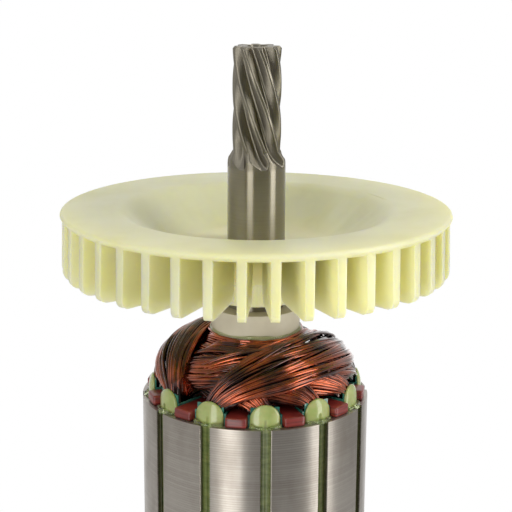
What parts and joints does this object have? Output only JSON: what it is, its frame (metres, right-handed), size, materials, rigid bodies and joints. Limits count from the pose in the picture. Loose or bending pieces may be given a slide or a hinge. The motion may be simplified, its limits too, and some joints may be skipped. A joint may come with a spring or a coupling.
{
  "type": "motor armature",
  "caption": "Universal motor armature: slotted lamination stack with crossed coil ends, radial blade fan, commutator and a shaft ending in a helical pinion.",
  "frame": {"origin": "middle of the front bearing seat on the shaft axis", "axes": "+Z along the shaft towards the pinion, -Y through the middle of one slot and one fan blade"},
  "size_m": [0.081, 0.081, 0.19],
  "materials": {
    "ground_steel": "ground and hobbed steel",
    "lamination_steel": "turned edges of thin sheets",
    "fan_nylon": "moulded, slightly translucent",
    "sleeve_plastic": "moulded, matt",
    "vulcanised_fibre": "punched fibre under varnish",
    "liner_film": "insulating film under varnish",
    "wedge_laminate": "glass laminate under resin",
    "enamelled_copper": "enamelled and varnished wire",
    "commutator_copper": "turned copper",
    "moulding_compound": "moulded phenolic"
  },
  "bodies": {
    "root": {"shaft": "ground_steel", "fan": "fan_nylon", "front_sleeve": "sleeve_plastic", "rear_sleeve": "sleeve_plastic", "lamination_stack": "lamination_steel", "front_end_plate": "vulcanised_fibre", "rear_end_plate": "vulcanised_fibre", "commutator_hub": "moulding_compound", "commutator_bars": "commutator_copper", "coil_leads": "enamelled_copper", "slot_liner_01": "liner_film", "slot_liner_02": "liner_film", "slot_liner_03": "liner_film", "slot_liner_04": "liner_film", "slot_liner_05": "liner_film", "slot_liner_06": "liner_film", "slot_liner_07": "liner_film", "slot_liner_08": "liner_film", "slot_liner_09": "liner_film", "slot_liner_10": "liner_film", "slot_liner_11": "liner_film", "slot_liner_12": "liner_film", "slot_wedge_01": "wedge_laminate", "slot_wedge_02": "wedge_laminate", "slot_wedge_03": "wedge_laminate", "slot_wedge_04": "wedge_laminate", "slot_wedge_05": "wedge_laminate", "slot_wedge_06": "wedge_laminate", "slot_wedge_07": "wedge_laminate", "slot_wedge_08": "wedge_laminate", "slot_wedge_09": "wedge_laminate", "slot_wedge_10": "wedge_laminate", "slot_wedge_11": "wedge_laminate", "slot_wedge_12": "wedge_laminate", "coil_01": "enamelled_copper", "coil_02": "enamelled_copper", "coil_03": "enamelled_copper", "coil_04": "enamelled_copper", "coil_05": "enamelled_copper", "coil_06": "enamelled_copper", "coil_07": "enamelled_copper", "coil_08": "enamelled_copper", "coil_09": "enamelled_copper", "coil_10": "enamelled_copper", "coil_11": "enamelled_copper", "coil_12": "enamelled_copper"}
  },
  "joints": []
}
